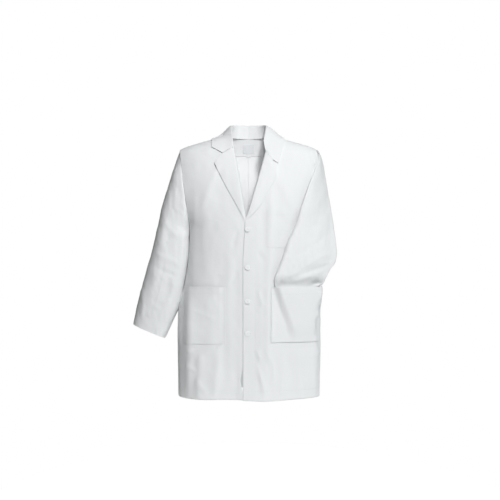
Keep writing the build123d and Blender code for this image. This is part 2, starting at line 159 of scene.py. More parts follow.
# ---- how the cloth of the body lies
# each fold's line of (x, z) points, width and height
FRONT_FOLDS = (
    # the right front, which is x below 0
    (((-150, -120), (-166, -330), (-150, -560)), 22, 2.0),
    (((-196, -150), (-206, -330), (-214, -540)), 15, 2.4),
    (((-60, -330), (-74, -560), (-66, -960)), 20, 2.6),
    (((-112, -770), (-124, -990)), 20, 4.0),
    (((-176, -790), (-190, -1000)), 18, 5.0),
    (((-216, -560), (-224, -1000)), 20, 8.0),
    (((-100, -60), (-150, -210), (-206, -320)), 16, 2.0),
    (((-36, -340), (-60, -420)), 10, -2.0),
    (((-34, -500), (-70, -560)), 10, -2.0),
    (((-246, -790), (-200, -812), (-130, -800)), 7, 3.0),
    (((-238, -850), (-190, -880)), 8, 2.6),
    (((-224, -640), (-150, -672), (-110, -690)), 9, 1.0),
    (((-120, -786), (-90, -776)), 6, 2.4),
    (((-200, -905), (-150, -960)), 11, 3.0),
    # the left front
    (((82, -80), (84, -330), (74, -560), (70, -960)), 16, 4.0),
    (((128, -430), (118, -560)), 16, 2.0),
    (((17, -784), (51, -841)), 8, 5.0),
    (((6, -811), (51, -910), (70, -974)), 11, 6.0),
    (((60, -790), (92, -850), (96, -930)), 10, 3.4),
    (((120, -780), (132, -1000)), 22, 4.5),
    (((190, -790), (204, -1000)), 20, 4.5),
    (((250, -610), (246, -690)), 7, 6.5),
    (((226, -575), (262, -640)), 7, 5.0),
    (((240, -650), (272, -700)), 6, 4.0),
    (((232, -770), (268, -820)), 9, 5.0),
    (((246, -720), (252, -990)), 13, 5.0),
    (((226, -36), (248, -70), (256, -110)), 9, 4.0),
    (((60, -60), (120, -170), (190, -300)), 18, 2.0),
    (((30, -430), (64, -470)), 10, -2.4),
    (((28, -560), (58, -640)), 9, 2.4),
)
BACK_FOLDS = (
    (((-180, -90), (-190, -400), (-150, -960)), 26, 6.0),
    (((-90, -120), (-84, -500), (-92, -990)), 28, 5.0),
    (((90, -120), (78, -500), (96, -990)), 28, 5.0),
    (((180, -90), (196, -400), (170, -960)), 26, 6.0),
    (((-120, -300), (-30, -420)), 20, 4.0),
    (((130, -330), (40, -440)), 20, 4.0),
    (((-40, -620), (-46, -990)), 20, -4.0),
    (((236, -600), (240, -990)), 22, 6.0),
    (((-236, -600), (-240, -990)), 22, 6.0),
)


def rest_of_cloth(x, z, front):
    """How far the cloth stands off the plain form, outwards."""
    folds, seed, phase = (FRONT_FOLDS, 3, 0.4) if front else (BACK_FOLDS, 4, 1.9)
    out = sum(fold(x, z, *f) for f in folds)
    low = ease((-z - 260) / 700)  # looser towards the hem
    out = out + (1.2 + 2.6 * low) * noise(x, z * 0.33, 58, seed) + 0.8 * noise(x, z * 0.7, 23, seed + 8)
    out = out + 3.2 * low * np.sin(x / 34.0 + phase)
    away = ease((np.abs(x) - 22) / 26) if front else 1.0  # the placket lies flatter
    below = ease((10 - z) / 70)  # and the shoulders lie flat
    return out * (0.1 + 0.9 * away) * below


def section_y(x, z, front):
    """How far forwards or back the plain form stands at x and z."""
    half, df, db = section_at(z)
    share = np.clip(np.abs(x) / half, 0, 0.99999)
    return np.where(front, -df, db) * (1 - share**ROUNDNESS) ** (1 / ROUNDNESS)


def outward(x, y, z):
    """The section's unit normal, in X and Y."""
    half, df, db = section_at(z)
    depth = np.where(y < 0, df, db)
    nx = np.sign(x) * (np.abs(x) / half) ** (ROUNDNESS - 1) / half
    ny = np.sign(y) * (np.abs(y) / depth) ** (ROUNDNESS - 1) / depth
    length = np.maximum(np.hypot(nx, ny), 1e-9)
    return nx / length, ny / length


def hip(points):
    """The cuff in the left pocket fills the coat out beside it."""
    x, z = points[..., 0], points[..., 2]
    fuller = HIP_FULLNESS * np.exp(-(((z - HIP_Z) / HIP_SPREAD) ** 2))
    return np.stack([x + fuller * ease((x - 150) / 105), points[..., 1], z], -1)


def skin(x, z, lift=0.0, front=True):
    """Points on the body's cloth, given by where they are seen from the front, lift above it."""
    x, z, lift = np.broadcast_arrays(np.asarray(x, float), np.asarray(z, float), np.asarray(lift, float))
    y = section_y(x, z, front)
    nx, ny = outward(x, y, z)
    out = rest_of_cloth(x, z, front) + lift
    return hip(np.stack([x + nx * out, y + ny * out, z], -1))


def plane_x(z):
    """Half the distance between the armhole planes at height z."""
    (tip_x, tip_z), (arm_x, arm_z) = SHOULDER_TIP, UNDERARM
    return arm_x + (tip_x - arm_x) * (np.asarray(z, float) - arm_z) / (tip_z - arm_z)


def row_points(z, start_x, side, front, edge_lift):
    """One level row of a panel, from start_x to the side seam, the shoulder seam or the armhole."""
    count = PANEL_COLUMNS
    half, df, db = section_at(z)
    turn = np.linspace(0, math.pi / 2, 400)
    x = half * np.sin(turn) ** (2 / ROUNDNESS)
    y = np.where(front, -df, db) * np.cos(turn) ** (2 / ROUNDNESS)
    x, y = np.concatenate([-x[:0:-1], x]), np.concatenate([y[:0:-1], y])
    run = np.concatenate([[0], np.cumsum(np.hypot(np.diff(x), np.diff(y)))])
    begin = float(np.interp(start_x, x, run))
    limit = plane_x(z) if z > UNDERARM[1] else 1e9
    stop = float(np.interp(limit, x, run))
    if front:
        extra = np.linspace(0, SIDE_SEAM_Y, 9)[1:]
        x = np.concatenate([x, half * (1 - (extra / db) ** ROUNDNESS) ** (1 / ROUNDNESS)])
        y = np.concatenate([y, extra])
        run = np.concatenate([[0], np.cumsum(np.hypot(np.diff(x), np.diff(y)))])
        end = run[-1]
    else:
        end = float(np.interp(-SIDE_SEAM_Y, -y[len(y) // 2:], run[len(y) // 2:]))
    if limit > half:
        stop = end
    at = np.minimum(np.linspace(min(begin, end), end, count), stop)
    x, y = np.interp(at, run, x), np.interp(at, run, y)
    nx, ny = outward(x, y, np.full(count, z))
    off_seam = ease((np.abs(y - SIDE_SEAM_Y)) / 25.0)  # both panels meet flat at the side seam
    out = rest_of_cloth(side * x, np.full(count, float(z)), front) * off_seam + edge_lift(side * x, z)
    return hip(np.stack([side * (x + nx * out), y + ny * out, np.full(count, float(z))], -1))


def length_along(points):
    """The length of a path up to each of its points."""
    return np.concatenate([[0], np.cumsum(np.linalg.norm(np.diff(points, axis=0), axis=1))])


def smooth_path(points, count):
    """Evenly spaced points on a smooth curve through a few points."""
    points = np.asarray(points, float)
    run = length_along(points)
    fine = smooth_curve(points, run, np.linspace(0, run[-1], count * 8))
    length = length_along(fine)
    at = np.linspace(0, length[-1], count)
    return np.stack([np.interp(at, length, fine[:, i]) for i in range(points.shape[1])], -1)


def smooth_curve(points, keys, at):
    """Cubic curve with centred tangents."""
    tangent = np.gradient(points, keys, axis=0)
    i = np.clip(np.searchsorted(keys, at, side="right") - 1, 0, len(keys) - 2)
    h = (keys[i + 1] - keys[i])[:, None]
    t = ((at - keys[i]) / (keys[i + 1] - keys[i]))[:, None]
    return cubic(t, points[i], points[i + 1], tangent[i] * h, tangent[i + 1] * h)


# ---- making pieces
def grid_quads(count, width, closed=False):
    """The four corners of each face of a grid of points, by number."""
    quads = []
    for i in range(count - 1):
        for j in range(width if closed else width - 1):
            k = (j + 1) % width
            quads.append((i * width + j, i * width + k, (i + 1) * width + k, (i + 1) * width + j))
    return quads


def grid_object(name, rows, thick, side):
    """A cloth piece from rows of points in millimetres; thick is its thickness, side where it is laid."""
    rows = np.asarray(rows, float) * MM
    return mesh_object(name, rows.reshape(-1, 3), grid_quads(*rows.shape[:2]), thick, side)


def mesh_object(name, points, faces, thick=0.0, side=0.0):
    """A smooth object from points in metres, with a thickness in millimetres if it is cloth."""
    mesh = bpy.data.meshes.new(name)
    mesh.from_pydata([tuple(p) for p in points], [], faces)
    bm = bmesh.new()
    bm.from_mesh(mesh)
    bmesh.ops.remove_doubles(bm, verts=bm.verts, dist=0.00005)
    bmesh.ops.recalc_face_normals(bm, faces=bm.faces)
    bm.to_mesh(mesh)
    bm.free()
    for polygon in mesh.polygons:
        polygon.use_smooth = True
    obj = bpy.data.objects.new(name, mesh)
    bpy.context.scene.collection.objects.link(obj)
    if thick:
        solid = obj.modifiers.new("thickness", "SOLIDIFY")
        solid.thickness = thick * MM
        solid.offset = side
        solid.use_even_offset = False
    return obj


def grid_normals(rows, closed=False):
    """Unit normals of a grid of points, pointing away from the middle of each row."""
    across = np.gradient(rows, axis=1)
    if closed:
        across = np.roll(rows, -1, 1) - np.roll(rows, 1, 1)
    normal = np.cross(across, np.gradient(rows, axis=0))
    normal /= np.maximum(np.linalg.norm(normal, axis=2, keepdims=True), 1e-9)
    away = ((rows - rows.mean(1, keepdims=True)) * normal).sum(2).mean()
    return normal * np.sign(away)


def shell_object(name, rows, normals, closed=False):
    """A cloth piece with both its faces and its edges, shaded by the normals it is given."""
    count, width = rows.shape[:2]
    inside = rows - normals * SLEEVE_THICK
    points = np.concatenate([rows.reshape(-1, 3), inside.reshape(-1, 3)]) * MM
    base = count * width
    faces = []
    for quad in grid_quads(count, width, closed):
        faces.append(quad)
        faces.append(tuple(base + v for v in quad[::-1]))
    for i in (0, count - 1):
        for j in range(width if closed else width - 1):
            a, b = i * width + j, i * width + (j + 1) % width
            faces.append((a, base + a, base + b, b) if i == 0 else (a, b, base + b, base + a))
    if not closed:
        for j in (0, width - 1):
            for i in range(count - 1):
                a, b = i * width + j, (i + 1) * width + j
                faces.append((a, b, base + b, base + a) if j == 0 else (a, base + a, base + b, b))
    mesh = bpy.data.meshes.new(name)
    mesh.from_pydata([tuple(p) for p in points], [], faces)
    corner, following, _, last = points[list(faces[0])]
    first = np.cross(following - corner, last - corner)
    if np.dot(first, normals[0, 0]) < 0:
        mesh.flip_normals()
    for polygon in mesh.polygons:
        polygon.use_smooth = True
    both = np.concatenate([normals.reshape(-1, 3), -normals.reshape(-1, 3)])
    mesh.normals_split_custom_set_from_vertices([tuple(n) for n in both])
    obj = bpy.data.objects.new(name, mesh)
    bpy.context.scene.collection.objects.link(obj)
    return obj


def tube_object(name, paths, radius):
    """Round threads along paths of points in millimetres."""
    sides = 6
    points, faces = [], []
    for path in paths:
        path = np.asarray(path, float) * MM
        along = np.gradient(path, axis=0)
        along /= np.maximum(np.linalg.norm(along, axis=1, keepdims=True), 1e-12)
        lead = np.where(np.abs(along[:, :1]) < 0.9, [[1.0, 0, 0]], [[0, 0, 1.0]])
        across = np.cross(along, lead)
        across /= np.linalg.norm(across, axis=1, keepdims=True)
        up = np.cross(along, across)
        base = len(points)
        for a in range(sides):
            turn = 2 * math.pi * a / sides
            points.extend(path + (across * math.cos(turn) + up * math.sin(turn)) * radius * MM)
        n = len(path)
        for a in range(sides):
            b = (a + 1) % sides
            for i in range(n - 1):
                faces.append((base + a * n + i, base + a * n + i + 1, base + b * n + i + 1, base + b * n + i))
        faces.append(tuple(base + a * n for a in range(sides)))
        faces.append(tuple(base + a * n + n - 1 for a in reversed(range(sides))))
    return mesh_object(name, points, faces)


def stitches(path):
    """A row of separate stitches along a path of points in millimetres."""
    path = np.asarray(path, float)
    run = length_along(path)
    step = STITCH + STITCH_GAP
    out = []
    for k in range(int(run[-1] // step)):
        at = k * step + np.linspace(0, STITCH, 4)
        out.append(np.stack([np.interp(at, run, path[:, i]) for i in range(3)], -1))
    return out


# ---- body panels
def rows_between(low, high, step):
    """Heights from low to high, about a step apart."""
    return np.linspace(low, high, max(int(abs(high - low) / step) + 1, 3))


def panel_levels(top):
    """The heights of a panel's rows, closer together towards the shoulders and the neck."""
    return np.concatenate([
        rows_between(HEM_Z - 4, UNDERARM[1], 7.0),
        rows_between(UNDERARM[1] + 0.5, -48, 5.0),
        rows_between(-46, top, 1.6),
    ])


def placket_lift(x, z):
    """The left front lies over the right one down the middle."""
    return 1.7 * ease((46 - x) / 30.0) * ease((BREAK_Z + 20 - z) / 40.0)


def roll_x(side, z):
    """Where a lapel rolls open, in X, at height z."""
    if side < 0:
        heights, places = (-340, -314, -292, -237, -120, -40, 0, 60), (-10, -12, -14, -22, -42, -57, -62, -66)
    else:
        heights, places = (-340, -314, -292, -237, -120, -61, 0, 60), (-16, -13, -2, 15, 49, 65, 68, 66)
    return float(np.interp(z, heights, places))


def neck_x(z, front):
    """Half the width of the neck hole, in front of the shoulder seam or behind it, on the level row z."""
    half, df, db = (float(v) for v in section_at(z))
    first, last, depth = (0.5, min(NECK_HALF_WIDTH, half), -df) if front else (0, NECK_HALF_WIDTH, db)
    x = np.linspace(first, last, 200)
    y = depth * (1 - np.clip(x / half, 0, 1) ** ROUNDNESS) ** (1 / ROUNDNESS)
    inside = (x / NECK_HALF_WIDTH) ** 2 + ((y - NECK_Y) / NECK_HALF_DEPTH) ** 2 < 1
    return float(x[inside][-1]) if inside.any() else 0.0


def no_lift(x, z):
    """The right front lies underneath and isn't lifted."""
    return 0.0


def front_edge(side, z):
    """Where a front starts on the level row z, measured from the middle towards its side seam."""
    if z >= BREAK_Z:
        if side > 0 and z < -292:
            return roll_x(side, z)
        return max(abs(roll_x(side, z)), neck_x(z, True)) + 0.5
    if side > 0:
        return float(np.interp(z, (HEM_Z, -460, BREAK_Z), (-21, -21, -13)))
    return -float(np.interp(z, (-990, -952, -910, -864, -746), (-16, -20, -31, -21, 12)))


def near_hem(z):
    """From 0 to 1 down the panels' last stretch."""
    return ease((-z - 900) / 80)


def front_panel(side):
    """The rows of a front; its hem hangs a little unevenly."""
    lift, droop = (placket_lift, 5.0) if side > 0 else (no_lift, 3.0)
    rows = []
    for z in panel_levels(19):
        row = row_points(z, front_edge(side, z), side, True, lift)
        row[:, 2] -= near_hem(z) * droop * (1 + 0.5 * np.sin(row[:, 0] / 47.0))
        rows.append(row)
    return rows


def centre_seam(x, z):
    """The back's centre seam draws the cloth in, above the vent."""
    return -1.6 * np.exp(-((x / 3.0) ** 2)) if z > VENT_TOP else 0.0


def back_panel(side):
    """The rows of a back; its hem waves a little."""
    rows = []
    for z in panel_levels(14):
        row = row_points(z, neck_x(z, False), side, False, centre_seam)
        row[:, 2] += near_hem(z) * 2.0 * np.sin(row[:, 0] / 55.0 + 1.0)
        rows.append(row)
    return rows


# ---- sleeves
def armhole(z):
    """Where the armhole's front and rear edge stand at height z, on the positive side."""
    px = plane_x(z)
    return px, section_y(px, z, True), section_y(px, z, False)


# z, outer x, half depth, inner x; above the underarm the inner x only sets the curve's middle
RIGHT_ARM = np.array((
    (-40, 262, 22, 200), (-48, 268, 36, 200), (-66, 275, 48, 200), (-100, 286, 58, 200),
    (-160, 305, 67, 200), (-230, 328, 70, 200), (-300, 345, 66, 212), (-345, 355, 62, 227),
    (-400, 368, 61, 229), (-450, 380, 62, 232), (-540, 402, 60, 246), (-620, 422, 56, 268),
    (-680, 435, 50, 296), (-735, 446, 45, 322),
), float)


def right_sleeve_rows():
    """Rows round the hanging sleeve, from the shoulder down; the cuff slants outwards and up."""
    rows = []
    order = RIGHT_ARM[::-1]
    for z in np.concatenate([np.linspace(-40, -345, 80), np.linspace(-349, -735, 86)]):
        outer, depth, inner = smooth_table(order[:, 0], order[:, 1:], np.array([z]))[0]
        joined = z > UNDERARM[1]
        px, front, rear = (float(v) for v in armhole(z))
        if joined:
            outer = max(outer, px + 3)
        centre, half = (outer + inner) / 2, (outer - inner) / 2
        cut = math.acos(np.clip((px - centre) / half, -1, 1)) if joined else math.pi
        turn = np.linspace(-cut, cut, RIGHT_SLEEVE_COLUMNS)
        c, s = np.cos(turn), np.sin(turn)
        squarer = 1.4 * ease((UNDERARM[1] - z) / 30)  # the underarm side, below the armhole
        roundness = 2.15
        power = 2 / np.where((c < 0) & (not joined), roundness + squarer, roundness)
        x = centre + half * np.sign(c) * np.abs(c) ** power
        y = -depth * np.sign(s) * np.abs(s) ** power
        if joined:  # the row's ends are drawn to the armhole's edges
            pull = np.clip(np.abs(turn) / cut / 0.45 - 1.222, 0, 1) ** 2
            ends = np.where(turn < 0, rear, front)
            x, y = x + pull * (px - x), y + pull * (ends - y)
        tilt = ease((-z - 340) / 300)
        share = (x - inner) / (outer - inner)
        slant = tilt * (share - 0.5) * 52 * ease((-z - 340) / 380)
        rows.append(np.stack([-x, y, z + slant], -1))
    return np.array(rows)


def sleeve_folds(rows, folds, seed, closed=False):
    """Soft folds on a sleeve, seen from the front or from behind, pushed along its normals."""
    width = rows.shape[1]
    normal = grid_normals(rows, closed)
    x, y, z = np.moveaxis(rows, -1, 0)
    front = y < y.mean(1, keepdims=True)
    out = 1.6 * noise(x * 1.2 + 60 * front, z * 0.6, 36, seed) + 0.7 * noise(x * 1.5, z, 17, seed + 1)
    for path, size, height, on_front in folds:
        out = out + fold(x, z, path, size, height) * (normal[..., 1] * (-1 if on_front else 1)).clip(0, 1)
    around = np.linspace(0, 1, width)[None, :] + 0 * z
    edge = ease(np.minimum(around, 1 - around) / 0.05)
    hold = np.where(z > UNDERARM[1] - 10, edge, 1.0)
    return rows + normal * (out * ease((-z - 52) / 60) * hold)[..., None]


# each fold's line of (x, z) points, width, height, and whether it is in front
RIGHT_SLEEVE_FOLDS = (
    (((-262, -70), (-246, -200), (-244, -320), (-262, -520)), 11, 3.6, True),
    (((-262, -520), (-300, -600), (-352, -700)), 14, 2.4, True),
    (((-330, -300), (-290, -350), (-246, -380)), 11, 1.6, True),
    (((-372, -430), (-320, -450), (-252, -480)), 12, 2.0, True),
    (((-380, -470), (-330, -500), (-262, -530)), 10, -1.6, True),
    (((-330, -170), (-322, -330), (-352, -520), (-390, -660)), 20, 3.0, True),
    (((-300, -110), (-290, -260), (-310, -420)), 18, -2.4, True),
    (((-296, -440), (-330, -580), (-366, -690)), 10, 2.4, True),
    (((-408, -560), (-400, -640), (-412, -690)), 9, 2.6, True),
    (((-330, -300), (-270, -360)), 18, 5.0, False),
    (((-380, -450), (-262, -500)), 18, 5.0, False),
    (((-330, -180), (-350, -430), (-392, -650)), 26, 6.0, False),
)


def closed_loop(points, count):
    """Evenly spaced points on a smooth closed curve."""
    points = np.asarray(points, float)
    n = len(points)
    wrapped = np.concatenate([points[-3:], points, points[:3]])
    # counted by a power of each step's length, so that the curve stays calm beside a short step
    run = np.concatenate([[0], np.cumsum(np.linalg.norm(np.diff(wrapped, axis=0), axis=1) ** 0.6)])
    fine = smooth_curve(wrapped, run, np.linspace(run[3], run[3 + n], count * 8, endpoint=False))
    ring = np.concatenate([fine, fine[:1]])
    length = length_along(ring)
    at = np.linspace(0, length[-1], count, endpoint=False)
    return np.stack([np.interp(at, length, ring[:, i]) for i in range(points.shape[1])], -1)


# z, inner edge x, outer edge x, outer edge y, rear y, fullness of the front
LEFT_ARM = np.array((
    (-40, 262, 272, 0, 24, 6), (-60, 268, 282, 2, 44, 10), (-81, 267, 288, 0, 54, 14),
    (-103, 259, 293, -2, 60, 18), (-172, 228, 305, -4, 66, 24), (-269, 194, 320, -10, 60, 28),
    (-327, 176, 328, -18, 40, 30), (-385, 149, 335, -30, 10, 28),
    (-430, 132, 338, -40, -10, 26), (-470, 117, 331, -52, -24, 22),
    (-500, 105, 311, -60, -36, 19), (-532, 95, 293, -68, -52, 15), (-552, 97, 284, -76, -60, 12),
    (-566, 101, 263, -86, -66, 13), (-640, 132, 235, -103, -92, 11), (-724, 164, 230, -108, -98, 6),
), float)


def left_sleeve_rows():
    """The left sleeve comes off the shoulder, flattens over the front and goes down into the pocket."""
    rows = []
    order = LEFT_ARM[::-1]
    count = LEFT_SLEEVE_COLUMNS
    for z in np.concatenate([np.linspace(-40, -540, 130), np.linspace(-543, -724, 50)]):
        inner, outer, outer_y, rear, full = smooth_table(order[:, 0], order[:, 1:], np.array([z]))[0]
        tucked = ease((-516 - z) / 62)  # 1 where the sleeve is flat inside the pocket
        under_it = skin(np.linspace(0, float(section_at(z)[0]) * 0.97, 80), z, 3.0)

        def chord(share):
            return inner + share * (outer - inner)

        def on_body(x):
            return float(np.interp(x, under_it[:, 0], under_it[:, 1]))

        outer_y += tucked * (on_body(outer) - 3 - outer_y)
        edge_y = on_body(inner) - 4 - 9 * ease((-z - 70) / 60) * ease((z + 560) / 50) + 2 * tucked
        px, front, rear_edge = (float(v) for v in armhole(max(z, UNDERARM[1] + 1)))
        lip = 9.0 * ease((-z - 90) / 80) * (1 - 0.8 * tucked)  # the inner edge stands off the front

        def bulge(share):
            free = edge_y + (outer_y - edge_y) * share - lip * (1 - share)
            laid = on_body(chord(share)) - 2
            return free + tucked * (laid - free) - full * 0.75 * math.sin(math.pi * share)

        def behind(share):
            deep = (rear - outer_y) * math.sin(math.pi * share) * 0.7
            return edge_y + (outer_y - edge_y) * share + 6 + deep

        def laid_back(x, y):
            return x, y + tucked * (on_body(x) - 1 - y)

        front_side = [(chord(s), bulge(s)) for s in (0.035, 0.14, 0.3, 0.5, 0.7, 0.88)]
        reach = outer - 0.25 * (outer - px) * (1 - tucked) - 6 * tucked
        middle = px + (outer - px) * 0.45
        if z > UNDERARM[1]:
            hidden = [(px - 4, rear_edge), (px - 10, 0.5 * (rear_edge + front)), (px - 2, front - 2)]
        else:
            gone = ease((UNDERARM[1] - z) / 120)  # 1 where the sleeve has left the armhole behind
            middle += (chord(0.86) - px - (outer - px) * 0.45) * gone
            hidden = [(px + 6 + (chord(s) - px - 6) * gone, behind(s)) for s in (0.75, 0.6, 0.45)]
        under = [(chord(s), max(on_body(chord(s)), bulge(s) + 4)) for s in (0.3, 0.12)]
        behind_side = [(reach, 0.5 * (outer_y + rear)), (middle, rear)] + hidden + under
        ring = [(inner, edge_y)] + front_side + [(outer, outer_y)]
        ring += [laid_back(x, y) for x, y in behind_side]
        rows.append(np.concatenate([closed_loop(ring, count), np.full((count, 1), z)], 1))
    return np.array(rows)


LEFT_SLEEVE_FOLDS = (
    (((262, -110), (232, -240), (214, -330)), 12, 1.6, True),
    (((330, -330), (262, -400), (190, -440), (120, -500)), 14, -2.4, True),
    (((336, -420), (260, -455), (150, -520)), 12, 2.6, True),
    (((330, -470), (240, -500), (130, -540)), 9, -2.6, True),
    (((300, -500), (230, -520), (160, -545)), 7, 2.4, True),
    (((300, -130), (296, -260), (306, -380)), 18, 2.4, True),
    (((210, -270), (170, -400), (120, -500)), 12, 1.2, True),
    (((290, -230), (250, -330), (230, -420)), 18, -2.0, True),
    (((300, -160), (310, -300), (320, -420)), 24, 4.0, False),
)


# ---- collar and lapels
def front_line(side):
    """Seen from the front: the gorge's inner end, the notch, the collar's corner and the lapel's peak."""
    if side < 0:
        return (-56, -33), (-97, -57), (-140, -31), (-129, -95)
    return (66, -56), (93, -85), (112, -97), (107, -118)


def near_notch(v):
    """From 0 to 1 along the last fifth of a lapel or of half the collar, up to the gorge."""
    return ease((v - 0.8) / 0.2)


def lapel_rows(side):
    """From the roll line to the outer edge, from the break up to the gorge and the notch."""
    start, notch, _, peak = front_line(side)
    edge = (-12, -318), (side * 38, -266), (side * 76, -200), (side * 104, -146), peak
    outer = smooth_path(edge, COLLAR_ROWS)
    rows = []
    for i, v in enumerate(np.linspace(0, 1, COLLAR_ROWS)):
        z0 = BREAK_Z + (start[1] - BREAK_Z) * v
        x0 = roll_x(side, z0)
        x1, z1 = outer[i]
        x1 = side * max(side * x1, side * x0 + 1.0)
        u = np.linspace(0, 1, COLLAR_COLUMNS)
        x, z = x0 + (x1 - x0) * u, z0 + (z1 - z0) * u
        share = (notch[0] - x0) / (x1 - x0)
        dip = notch[1] - (z0 + (z1 - z0) * share)
        z = z + np.interp(u, (0, share, 1), (0, dip, 0)) * near_notch(v)
        roll = 3.2 * (1 - ease(np.abs(x - x0) / 34.0)) * ease(v * 3)
        crown = 2.6 * np.sin(math.pi * u) ** 1.2 * min(1.0, abs(x1 - x0) / 70)
        stand = 0.9 + 1.5 * ease(v * 6) + roll + crown
        stand = stand + 1.6 * u * near_notch(v)
        points = skin(x, z, stand)
        tuck = np.linspace(0, 1, 7)[:-1, None]
        inner = skin(x0 - side * 3.0, z0, -1.0)
        curl = points[0] + np.array([[-side * 2.2, 1.6, 0]]) * np.sin(tuck * math.pi / 1.6)
        rows.append(np.concatenate([inner + (curl - inner) * tuck**0.8, points]))
    return np.array(rows)


# half of the collar's fold, outer edge and seam, from the middle of the back to the front: x, y, z
FOLD_LINE = ((0, 59, 66), (44, 47, 65), (64, 14, 61), (66, -14, 50), (62, -44, 20), (58, -66, -10))
EDGE_LINE = ((0, 93, -2), (70, 80, 3), (118, 42, 12), (134, 4, 12), (139, -26, 6))
FOOT_LINE = ((0, 60, 15), (46, 49, 15), (74, 24, 16), (79, -4, 14), (72, -36, 4), (62, -58, -14))


def collar_rows(side):
    """Half of the fall, from the fold line over the shoulder to its outer edge."""
    count = COLLAR_ROWS
    start, notch, corner, _ = front_line(side)
    end_of_fold = (side * start[0], float(skin(*start)[1]) - 8.0, start[1])
    end_of_edge = (side * corner[0], float(skin(*corner)[1]) - 5.0, corner[1])
    top = smooth_path(FOLD_LINE + (end_of_fold,), count)
    low = smooth_path(EDGE_LINE + (end_of_edge,), count)
    rows = []
    for i in range(count):
        v = i / (count - 1)
        u = np.linspace(0, 1, COLLAR_COLUMNS)
        line = top[i] + (low[i] - top[i]) * u[:, None]
        across = low[i] - top[i]
        out = np.array([across[0], across[1], 0.0])
        out /= max(np.linalg.norm(out), 1e-6)
        lift = np.array([0.55 * out[0], 0.55 * out[1], 0.83])
        back = ease((0.72 - v) / 0.3)  # the fall is rounder behind than in front
        points = line + lift * ((9.0 * back + 1.5) * np.sin(math.pi * u**0.6))[:, None]
        if near_notch(v) > 0:
            share = (side * notch[0] - top[i][0]) / (low[i][0] - top[i][0])
            dip = notch[1] - (top[i][2] + (low[i][2] - top[i][2]) * share)
            points[:, 2] += np.interp(u, (0, share, 1), (0, dip, 0)) * near_notch(v)
        height = 3.4 + 4.6 * np.exp(-((u / 0.25) ** 2)) + 1.2 * u
        level = ease((v - 0.84) / 0.16) if side > 0 else 0.0
        height = height + level * (2.5 + 2.4 * np.sin(math.pi * u) - height)  # flatter at the left end
        points = points * [side, 1, 1]
        laid = skin(points[:, 0], np.minimum(points[:, 2], 18), height)
        laid[:, 2] = points[:, 2]
        near_fold = ease((u + 0.2) / 0.5)
        take = (ease((v - 0.6) / 0.25) * (near_fold + (1 - near_fold) * ease((v - 0.85) / 0.12)))[:, None]
        rows.append(points * (1 - take) + laid * take)
    if side > 0:  # the left collar's end is tucked under the lapel, as far as the notch
        share = (notch[0] - start[0]) / (corner[0] - start[0])
        under = ease((share - np.linspace(0, 1, COLLAR_COLUMNS)) / 0.12)
        rows.append(rows[-1] + under[:, None] * [0, 3.0, -6.0])
    return np.array(rows)


def stand_rows():
    """The stand inside the neck, from the neck seam up to the fold, on both sides."""
    top, foot = (smooth_path(line, STAND_COLUMNS) for line in (FOLD_LINE, FOOT_LINE))
    full_top, full_foot = (np.concatenate([line[::-1] * [-1, 1, 1], line[1:]]) for line in (top, foot))
    u = np.concatenate([[0, 0.012], np.linspace(0.03, 1, 15)])[:, None]
    return np.array([a + (b - a) * u for a, b in zip(full_foot, full_top)])


# ---- pieces laid on the front
def off_sides(u):
    """From 0 at a pocket's two side seams to 1 between them."""
    return ease(np.minimum(u, 1 - u) / 0.16)


def patch_rows(x, z, lift, sag):
    """A pocket: sewn down round three sides, and standing off between them towards its mouth."""
    rows = []
    u = np.concatenate([[0, 0.004], np.linspace(0.015, 0.985, 58), [0.996, 1]])
    for w in u:
        px = x[0] + (x[1] - x[0]) * u
        pz = z[1] + (z[0] - z[1]) * w + 0 * px
        stand = pocket_stand(x, z, lift, sag, px, pz) + 0.7 * noise(px, pz, 30, 21) * off_sides(u)
        rows.append(skin(px, pz, stand))
    return np.array(rows)


def pocket_stand(x, z, lift, sag, px, pz):
    """How high the pocket's cloth stands at px and pz."""
    u = np.clip((np.asarray(px, float) - x[0]) / (x[1] - x[0]), 0, 1)
    w = np.clip((z[1] - np.asarray(pz, float)) / (z[1] - z[0]), 0, 1)
    if x == LEFT_POCKET[0]:  # filled by the cuff, whose inner edge slants down through it
        ramp = ease((px - np.interp(-pz, (562, 640, 700, 770), (86, 112, 136, 156))) / 30)
        full = sag * ramp * ease((1 - u) / 0.13) * ease((1.02 - w) / 0.3) * (0.5 + 0.5 * (1 - w))
        return lift + 1.0 + full
    return lift + sag * off_sides(u) * ease((1 - w) / 0.22) * (0.45 + 0.55 * (1 - w))


def straight(a, b, count=160):
    """Points on the straight line between two places seen from the front, as x and z."""
    t = np.linspace(0, 1, count)
    return a[0] + (b[0] - a[0]) * t, a[1] + (b[1] - a[1]) * t


def front_seam(a, b, placket=True):
    """A row of stitches on the front, or on the placket where it lies over, between two places."""
    x, z = straight(a, b)
    return stitches(skin(x, z, (placket_lift(x, z) if placket else 0.0) + 0.35))


# ---- materials
def set_inputs(node, values):
    for name, value in values.items():
        node.inputs[name].default_value = value


def add_node(tree, kind, values, inputs=()):
    """A new node with its values set, and each named input joined to an output of another node."""
    node = tree.nodes.new(f"ShaderNode{kind}")
    set_inputs(node, values)
    for name, output in inputs:
        tree.links.new(output, node.inputs[name])
    return node


def new_material(name, values):
    """A material, its node tree and its shader."""
    material = bpy.data.materials.new(name)
    material.use_nodes = True
    shader = material.node_tree.nodes["Principled BSDF"]
    set_inputs(shader, values)
    return material, material.node_tree, shader


def two_tones(tree, pattern, shader, dark, light):
    """Mix two colours into the shader by a pattern."""
    mix = tree.nodes.new("ShaderNodeMix")
    mix.data_type = "RGBA"
    set_inputs(mix, {"A": (*dark, 1), "B": (*light, 1)})
    tree.links.new(pattern.outputs["Fac"], mix.inputs["Factor"])
    tree.links.new(mix.outputs["Result"], shader.inputs["Base Color"])


